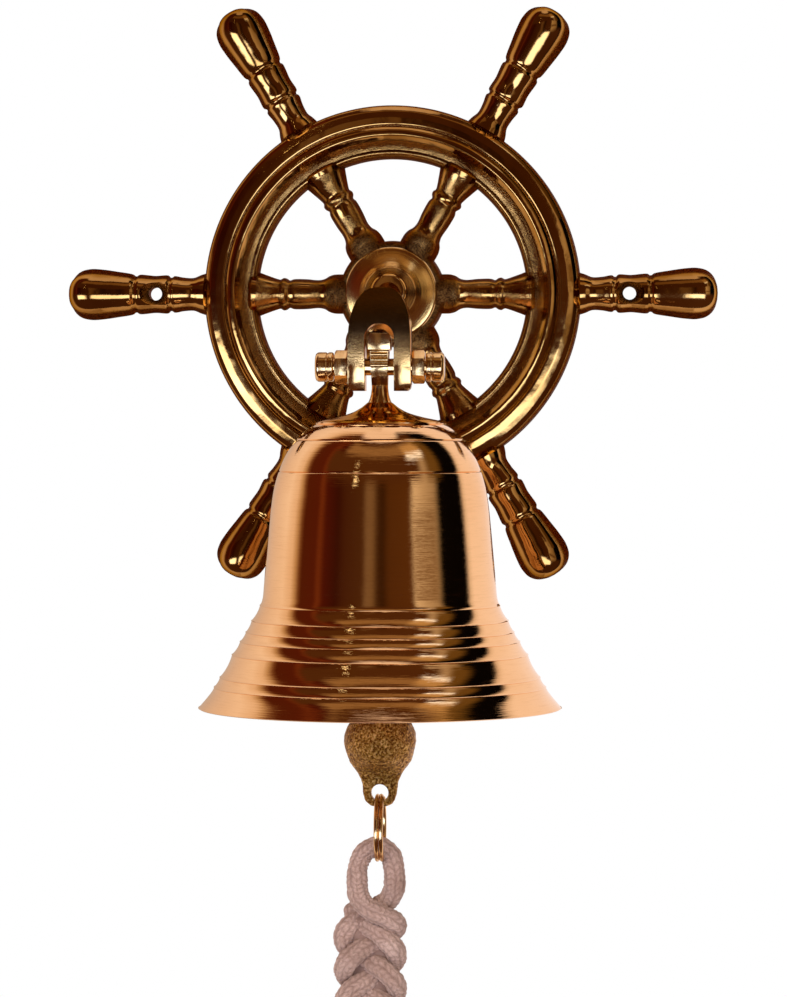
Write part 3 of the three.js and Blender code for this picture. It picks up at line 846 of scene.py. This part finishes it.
def make_bracket():
    flange = [
        (0, 8.6), (13.6, 8.6), (14.3, 9.2), (14.4, 10.2), (14.0, 10.9), (13.2, 11.1), (11.6, 11.9),
        (9.6, 13.2), (8.0, 14.8), (6.8, 16.8), (6.0, 19.0), (5.7, 20.6), (4.6, 20.8), (4.5, 21.9),
        (5.3, 22.1), (5.6, 22.9), (5.5, 23.9), (4.9, 25), (0, 25),
    ]
    arm = catmull_rom([(0, -22, -0.4), (0, -34, -3.0), (0, -46, -5.2), (0, -60, -6.6)], 1.0)
    bracket = bevelled(fork(), 0.75, 45, 3)
    combine(bracket, "UNION", tube("arm", arm, 3.8, 48))
    combine(bracket, "UNION", turned("flange", rounded(flange, 0.35, 3), about_wheel_axis, 128))
    combine(bracket, "DIFFERENCE", stud_hole(-12, 12))
    paint_cast_and_shade(bracket, bracket_painted_shade)
    finished(bracket, BRACKET_BRASS, "wheel", ["bracket_arm"], 32)
    paint_faces(bracket, FLANGE_BRASS, lambda x, y, z: -y < FLANGE_FACE_DEPTH)


make_bracket()


# ---- pivot hardware ----
def hex_nut(name, node):
    low, high = millimetres(node)
    corners = arc((AXIS_Y, PIVOT_Z), (5, 5), 30, 330, 5)
    nut = prism(name, corners, lambda u, v, w: (w, u, v), low[0], high[0])
    domed = rounded([(0, low[0]), (4.4, low[0]), (5.1, low[0] + 0.5), (5.1, high[0] - 0.5),
                     (4.4, high[0]), (0, high[0])], 0.2, 3)
    combine(nut, "INTERSECT", turned("dome", domed, about_stud_axis, 96))
    combine(nut, "DIFFERENCE", stud_hole(low[0] - 1, high[0] + 1, 48))
    bevelled(nut, 0.14)
    finished(nut, FITTING_BRASS, "wheel", [node], 25)


def cap_nut(name, side, node):
    """A round end nut; side is 1 where it faces +X and -1 where it faces -X."""
    low, high = millimetres(node)
    near, far = (low[0], high[0]) if side > 0 else (high[0], low[0])
    profile = [(0, near), (4.0, near), (4.4, near + 0.4 * side), (4.4, near + 1.5 * side),
               (4.15, near + 1.7 * side), (4.15, near + 2.0 * side), (4.4, near + 2.2 * side),
               (4.4, far - 0.9 * side), (3.9, far - 0.2 * side), (3.2, far), (0, far)]
    cap = turned(name, rounded(profile, 0.3), about_stud_axis, 128)
    finished(cap, FITTING_BRASS, "wheel", [node], 25)


for side_name, side_sign in (("left", -1), ("right", 1)):
    hex_nut("lock_nut_" + side_name, "hex_nut_" + side_name)
    cap_nut("end_nut_" + side_name, side_sign, "cap_nut_" + side_name)


# ---- bell: its lines are [radius, z] ----
FLARE_BANDS = [  # the creases between the turned bands, down to the lip
    (35.8, -94.6), (38.3, -99.1), (40.0, -102.5), (41.7, -105.3), (44.1, -109.2), (47.7, -115.9),
    (49.4, -118.8), (BELL_HIGH[0], MOUTH_Z),
]
BODY_LINE = [
    (19.0, -40.9), (20.6, -41.7), (22.6, -43.2), (24.8, -45.4), (26.7, -47.9), (28.4, -50.9), (30.0, -54.8),
    (31.3, -59.2), (32.2, -64.5), (32.9, -71), (33.5, -77.5), (34.1, -84), (34.5, -89), (34.8, -92.2),
    (35.3, -94.0), (35.8, -94.6),
]
CROWN_LINE = [
    (19.0, -40.2), (17.2, -39.7), (12.5, -38.7), (8.2, -37.4), (5.6, -36.0), (4.2, -34.9), (3.5, -34.4),
    (2.3, -34.4),
]
INSIDE_LINE = [
    (2.3, -44.4), (13, -44.4), (18.4, -46), (23.4, -50), (27, -56), (29.3, -64.5), (30.4, -76), (31.2, -86),
    (32, -91.5), (33.6, -96.5), (36.8, -102.5), (40.4, -108.5), (44.6, -115), (49, -121),
]
SHOULDER_GROOVES = [-45.5, -54.9]
GROOVE_DEPTH = 0.32
GROOVE_HALF_WIDTH = 0.17
BAND_TILTS = (12, 15, 18, 21, 25, 29, 33)
LIP_TILTS = (18, 26, 31, 33, 34, 34.5, 34.5, 34.5)
LEDGE = 0.28  # how far a band stands back from the crease below it


def turned_band(start, end, tilts):
    """A band between two creases whose outward tilt in degrees runs through tilts, scaled to meet the end."""
    t = np.linspace(0, 1, 30)
    tilt = np.interp(t, np.linspace(0, 1, len(tilts)), tilts)
    tilt = np.convolve(np.pad(tilt, 2, "edge"), np.ones(5) / 5, "valid")
    growth = np.concatenate([[0], np.cumsum(np.tan(np.radians(0.5 * (tilt[1:] + tilt[:-1]))))])
    growth *= (end[0] - start[0]) / growth[-1]
    return np.stack([start[0] + growth, start[1] + (end[1] - start[1]) * t], axis=1)


def bell_profile():
    crown = catmull_rom(CROWN_LINE[:0:-1], 0.4)[:-1]
    body = resampled(catmull_rom(BODY_LINE, 0.5), 0.14)
    for z in SHOULDER_GROOVES:
        body[:, 0] -= GROOVE_DEPTH * np.exp(-((body[:, 1] - z) / GROOVE_HALF_WIDTH) ** 2)
    bands = []
    for (top_r, top_z), (low_r, low_z) in zip(FLARE_BANDS, FLARE_BANDS[1:]):
        is_lip = low_z == MOUTH_Z
        end = (low_r, low_z) if is_lip else (low_r - LEDGE, low_z + 0.12)
        bands.append([(top_r - 0.2, top_z - 0.1)])
        bands.append(turned_band((top_r - 0.1, top_z - 0.26), end, LIP_TILTS if is_lip else BAND_TILTS))
        bands.append([(low_r, low_z)])
    flare = np.vstack(bands)
    lip = [(53.6, MOUTH_Z), (52.4, MOUTH_Z)]
    inside = catmull_rom(INSIDE_LINE[::-1], 1.0)
    edge = [(19.0, -40.35), (19.15, -40.6)]
    return np.vstack([crown, edge, body, flare[:-2], [(BELL_HIGH[0], MOUTH_Z + 0.25)], lip, inside])


def make_bell():
    bell = turned("bell_casting", bell_profile(), about_bell_axis, 288, closed=True)
    finished(bell, BELL_BRASS, "bell", ["bell_shell"], 34)
    crown_r, crown_z = CROWN_LINE[0]
    paint_faces(bell, BRACKET_BRASS,
                lambda x, y, z: z > crown_z - 0.05 and math.hypot(x, y - AXIS_Y) < crown_r)


make_bell()


# ---- hanger ----
def make_hanger():
    """The lug on the stud, with three ridges on its front, and the stem down into the bell."""
    top_r = 11.3
    corner = math.degrees(math.acos(5.5 / top_r))
    depth = -AXIS_Y
    side = np.vstack([
        [(depth - 2.5, PIVOT_Z - 5.5), (depth + 2.5, PIVOT_Z - 5.5), (depth + 4.9, PIVOT_Z - 0.6)],
        [(depth + 5.0, PIVOT_Z + 4.6), (depth + 5.5, PIVOT_Z + 5.1)],
        arc((depth, PIVOT_Z), (top_r, top_r), corner, 180 - corner, 20),
        [(depth - 4.9, PIVOT_Z - 0.6)],
    ])
    round_z = PIVOT_Z + top_r - 3.4
    front = np.vstack([
        [(-2.3, PIVOT_Z - 6), (2.3, PIVOT_Z - 6), (2.65, PIVOT_Z + 4.6), (3.25, PIVOT_Z + 5.2)],
        arc((0, round_z), (3.3, 3.4), 0, 180, 16),
        [(-3.25, PIVOT_Z + 5.2), (-2.65, PIVOT_Z + 4.6)],
    ])
    hanger = prism("bell_hanger", front, facing_front, depth - 8, depth + 8)
    combine(hanger, "INTERSECT", prism("lug", side, facing_side, -6, 6))
    bevelled(hanger, 0.3)
    for index in range(3):
        z = PIVOT_Z + 3.7 - 1.6 * index
        line = np.stack([np.linspace(-2.5, 2.5, 9), np.full(9, AXIS_Y - 4.9 + 0.25 * index),
                         np.full(9, z)], axis=1)
        combine(hanger, "UNION", tube("ridge", line, 0.72, 20))
    crown_top = CROWN_LINE[-1][1]
    stem = [(0, -54), (2, -54), (2, crown_top - 2), (3.6, crown_top - 2), (3.5, crown_top),
            (3.1, crown_top + 0.9), (2.7, crown_top + 2.2), (2.45, crown_top + 4), (2.4, PIVOT_Z - 3),
            (0, PIVOT_Z - 3)]
    combine(hanger, "UNION", turned("stem", rounded(stem, 0.3, 3), about_bell_axis, 64))
    combine(hanger, "DIFFERENCE", stud_hole(-6, 6))
    finished(hanger, FITTING_BRASS, "bell", ["hanger_stem"], 32)


make_hanger()


# ---- clapper chain and ring ----
TAIL_EYE_Z = -150.4
TAIL_HALF_THICKNESS = 1.75
CLAPPER_LINE = [  # half-width, z
    (0.9, -154.6), (2.6, -154.2), (4.2, -152.8), (5.0, -150.6), (5.3, -148.2), (6.1, -145.6), (7.8, -142.8),
    (9.5, -139.9), (10.5, -136.6), (10.6, -134.6), (10.1, -131.8), (8.9, -129.2), (6.6, -127.0),
    (4.2, -125.5), (2.9, -124.2), (2.4, -122.4), (2.4, -100), (2.4, -75.5),
]


def about_tail_eye(radius, along, angle):
    return radius * np.cos(angle), AXIS_Y + along + 0 * angle, TAIL_EYE_Z + radius * np.sin(angle)


def make_clapper():
    """A rough casting with a flat tail, turning round towards the ball, and an eye at each end."""
    top_z = millimetres("clapper")[1][2]
    line = resampled(catmull_rom(CLAPPER_LINE, 0.3), 0.45)
    angles = full_turn(80)
    rings = []
    for half, z in line:
        round_share = smoothstep((z + 147.5) / 8.5)
        thick = TAIL_HALF_THICKNESS + (half - TAIL_HALF_THICKNESS) * round_share
        half_y = min(half, thick) if half > TAIL_HALF_THICKNESS else half
        squareness = 0.55 + 0.45 * round_share
        x = half * np.cos(angles)
        y = half_y * np.sign(np.sin(angles)) * np.abs(np.sin(angles)) ** squareness
        rings.append(np.stack([x, AXIS_Y + y, z + 0 * angles], axis=1))
    rings = np.array(rings)
    centre = rings.mean(axis=1, keepdims=True)
    outwards = rings - centre
    outwards /= np.maximum(np.linalg.norm(outwards, axis=2, keepdims=True), 1e-6)
    cast = 0.11 * ripple(rings, 1.6, 21) + 0.16 * ripple(rings, 5.5, 22)
    rings = rings + outwards * (cast * np.clip((-123 - rings[:, :, 2]) / 3, 0, 1))[:, :, None]
    clapper = rings_object("clapper_casting", rings)
    eye = [(0, -6), (3.1, -6), (2.55, -1), (2.55, 1), (3.1, 6), (0, 6)]
    combine(clapper, "DIFFERENCE", turned("eye", eye, about_tail_eye, 48))
    combine(clapper, "UNION", torus("loop", (0, AXIS_Y, top_z - 5.6), 4.2, 1.4, 1))
    finished(clapper, ROUGH_BRASS, "clapper", ["clapper"], 50)


def make_link():
    low, high = millimetres("clapper_link")
    link = torus("clapper_hanging_link", (low + high) / 2, 4.8, 1.1, 0)
    finished(link, FITTING_BRASS, "clapper_link", ["clapper_link"])


def make_split_ring():
    """Two turns of wire side by side, which cross over half-way; the wire's ends are tapered."""
    low, high = millimetres("split_ring")
    centre = (low + high) / 2
    count, radius, half_gap = 280, 9.4, 0.7
    turn = np.linspace(0, 1, count)
    x = -half_gap + 2 * half_gap * smoothstep((turn - 0.44) / 0.12)
    angle = 4 * np.pi * turn + 1.2
    path = np.stack([x, radius * np.cos(angle), radius * np.sin(angle)], axis=1) + centre
    from_end = np.minimum(np.arange(count), np.arange(count)[::-1])
    wire = 0.68 * np.sqrt(np.clip(from_end / 2, 0.1, 1))
    ring = tube("split_ring_coil", path, wire[:, None], 20)
    finished(ring, FITTING_BRASS, "split_ring", ["split_ring"], 60)


make_clapper()
make_link()
make_split_ring()
for node_name in ("pivot_stud", "bracket_screw_left", "bracket_screw_right", "crown_washer", "crown_nut",
                  "clapper_eye"):
    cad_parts[node_name].data.materials.clear()
    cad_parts[node_name].data.materials.append(FITTING_BRASS)


# ---- surroundings ----
# An azimuth is in degrees from straight in front of the wall, positive to the right.
WALL_LIGHT = (1.0, 0.85, 0.80)
ROOM = [  # azimuth, colour
    (-180, (0.50, 0.36, 0.25)), (-140, (0.78, 0.62, 0.52)), (-110, (0.97, 0.82, 0.74)),
    (-97, (0.86, 0.66, 0.52)), (-91, (0.55, 0.36, 0.20)), (-86, (0.20, 0.08, 0.03)),
    (-82, (0.085, 0.016, 0.004)), (-66, (0.09, 0.014, 0.004)), (-61, (0.16, 0.035, 0.009)),
    (-55, (0.07, 0.009, 0.003)), (-41, (0.04, 0.007, 0.002)), (-33, (0.06, 0.017, 0.005)),
    (-14, (0.075, 0.028, 0.008)), (-11, (0.20, 0.12, 0.06)), (-4, (0.19, 0.11, 0.05)),
    (0, (0.06, 0.024, 0.007)), (6, (0.035, 0.012, 0.002)), (12, (0.085, 0.03, 0.006)),
    (36, (0.10, 0.036, 0.007)), (38, (0.74, 0.62, 0.46)), (50, (0.55, 0.43, 0.29)),
    (63, (0.38, 0.28, 0.17)), (69, (0.003, 0.002, 0.001)), (100, (0.002, 0.001, 0.001)),
    (104, (0.78, 0.64, 0.55)), (110, WALL_LIGHT), (180, WALL_LIGHT),
]
CEILING = [  # lowest and highest elevation, first and last azimuth, softness, colour
    (30, 54, -60, 50, 4, (0.085, 0.030, 0.008)), (54, 69, -46, 68, 4, (0.30, 0.17, 0.07)),
    (28, 74, 57, 75, 4, (0.15, 0.08, 0.018)), (69, 77, -86, 92, 4, (0.08, 0.027, 0.007)),
    (48, 54, 37, 60, 1.5, (1.3, 1.4, 1.6)), (54, 66, 35, 62, 2, (0.55, 0.35, 0.15)),
    (4, 10, 38, 63, 2, (0.22, 0.13, 0.06)), (29, 33, -23.5, -22.9, 0.4, (10, 9.4, 6.5)),
    (42, 44, -23.5, -22.9, 0.4, (7, 6.5, 4.5)),
]
OVERHEAD_FROM = (76, 80)  # the elevations between which the light overhead sets in
OVERHEAD_LIGHT = (0.95, 0.80, 0.74)
GROUND = (0.10, 0.04, 0.016)
LOW_LIGHTS = [(-54, -22, 2.5), (-6, 34, 2.0)]  # first and last azimuth, strength
LOW_LIGHT = (1.7, 2.1, 2.9)


def band(tree, value, start, end, softness):
    """1 where value is between start and end, falling to 0 over softness."""
    rise = remap(tree, value, 0, 1, start - softness, start + softness)
    fall = remap(tree, value, 1, 0, end - softness, end + softness)
    return arithmetic(tree, "MULTIPLY", rise, fall)


def make_world():
    """The room that the brass mirrors; the camera itself sees white behind the object."""
    world = bpy.data.worlds.new("room")
    bpy.context.scene.world = world
    world.use_nodes = True
    tree = world.node_tree
    direction = add(tree, "ShaderNodeTexCoord").outputs["Generated"]
    parts = add(tree, "ShaderNodeSeparateXYZ", {0: direction})
    x, y, z = parts.outputs
    azimuth = arithmetic(tree, "ARCTAN2", x, arithmetic(tree, "MULTIPLY", y, -1.0))
    azimuth = arithmetic(tree, "MULTIPLY", azimuth, 180 / math.pi)
    elevation = arithmetic(tree, "MULTIPLY", arithmetic(tree, "ARCSINE", z), 180 / math.pi)
    azimuth = arithmetic(tree, "DIVIDE", azimuth, remap(tree, elevation, 1, 1.3, 12, 62))
    around = remap(tree, azimuth, 0, 1, -180, 180)
    colour = ramp(tree, around, [((angle + 180) / 360, tone) for angle, tone in ROOM])
    for low, high, start, end, softness, tone in CEILING:
        part = arithmetic(tree, "MULTIPLY", band(tree, azimuth, start, end, softness),
                          band(tree, elevation, low, high, min(softness, 1.5)))
        colour = mixed(tree, part, colour, tone)
    colour = mixed(tree, remap(tree, elevation, 0, 1, *OVERHEAD_FROM), colour, OVERHEAD_LIGHT)
    below = arithmetic(tree, "MULTIPLY", band(tree, azimuth, -95, 95, 8),
                       remap(tree, elevation, 1, 0, -12, 0))
    colour = mixed(tree, below, colour, GROUND)
    for start, end, strength in LOW_LIGHTS:
        patch = arithmetic(tree, "MULTIPLY", band(tree, azimuth, start, end, 4),
                           band(tree, elevation, -28, -8, 2.5))
        colour = mixed(tree, patch, colour, [channel * strength for channel in LOW_LIGHT])
    seen = add(tree, "ShaderNodeLightPath").outputs["Is Camera Ray"]
    colour = mixed(tree, seen, colour, (1, 1, 1))
    tree.links.new(colour, tree.nodes["Background"].inputs["Color"])


def make_light(name, place, target, size, power, colour):
    data = bpy.data.lights.new(name, "AREA")
    data.size = size
    data.energy = power
    data.color = colour
    light = bpy.data.objects.new(name, data)
    light.location = place
    away = np.array(place) - np.array(target)
    light.rotation_euler = (math.atan2(math.hypot(away[0], away[1]), away[2]), 0,
                            math.atan2(away[0], -away[1]))
    light.visible_glossy = False
    light.visible_camera = False
    bpy.context.scene.collection.objects.link(light)


def make_floor():
    floor_z = -620
    corners = [(x, y, floor_z) for x, y in ((-1500, -1300), (1500, -1300), (1500, 1700), (-1500, 1700))]
    floor = new_object("floor", corners, [(0, 1, 2, 3)])
    material, _, shader = new_material("pale_floor")
    shader.inputs["Base Color"].default_value = (0.82, 0.80, 0.78, 1)
    shader.inputs["Roughness"].default_value = 0.9
    floor.data.materials.append(material)
    floor.visible_glossy = False


make_world()
make_light("key", (-0.7, -1.3, 0.5), (0, -0.07, -0.12), 0.9, 16, (1, 0.92, 0.86))
make_light("fill", (0.9, -1.0, -0.2), (0, -0.07, -0.2), 0.9, 6, (1, 0.93, 0.88))
make_floor()
bpy.context.scene.view_settings.view_transform = "Standard"
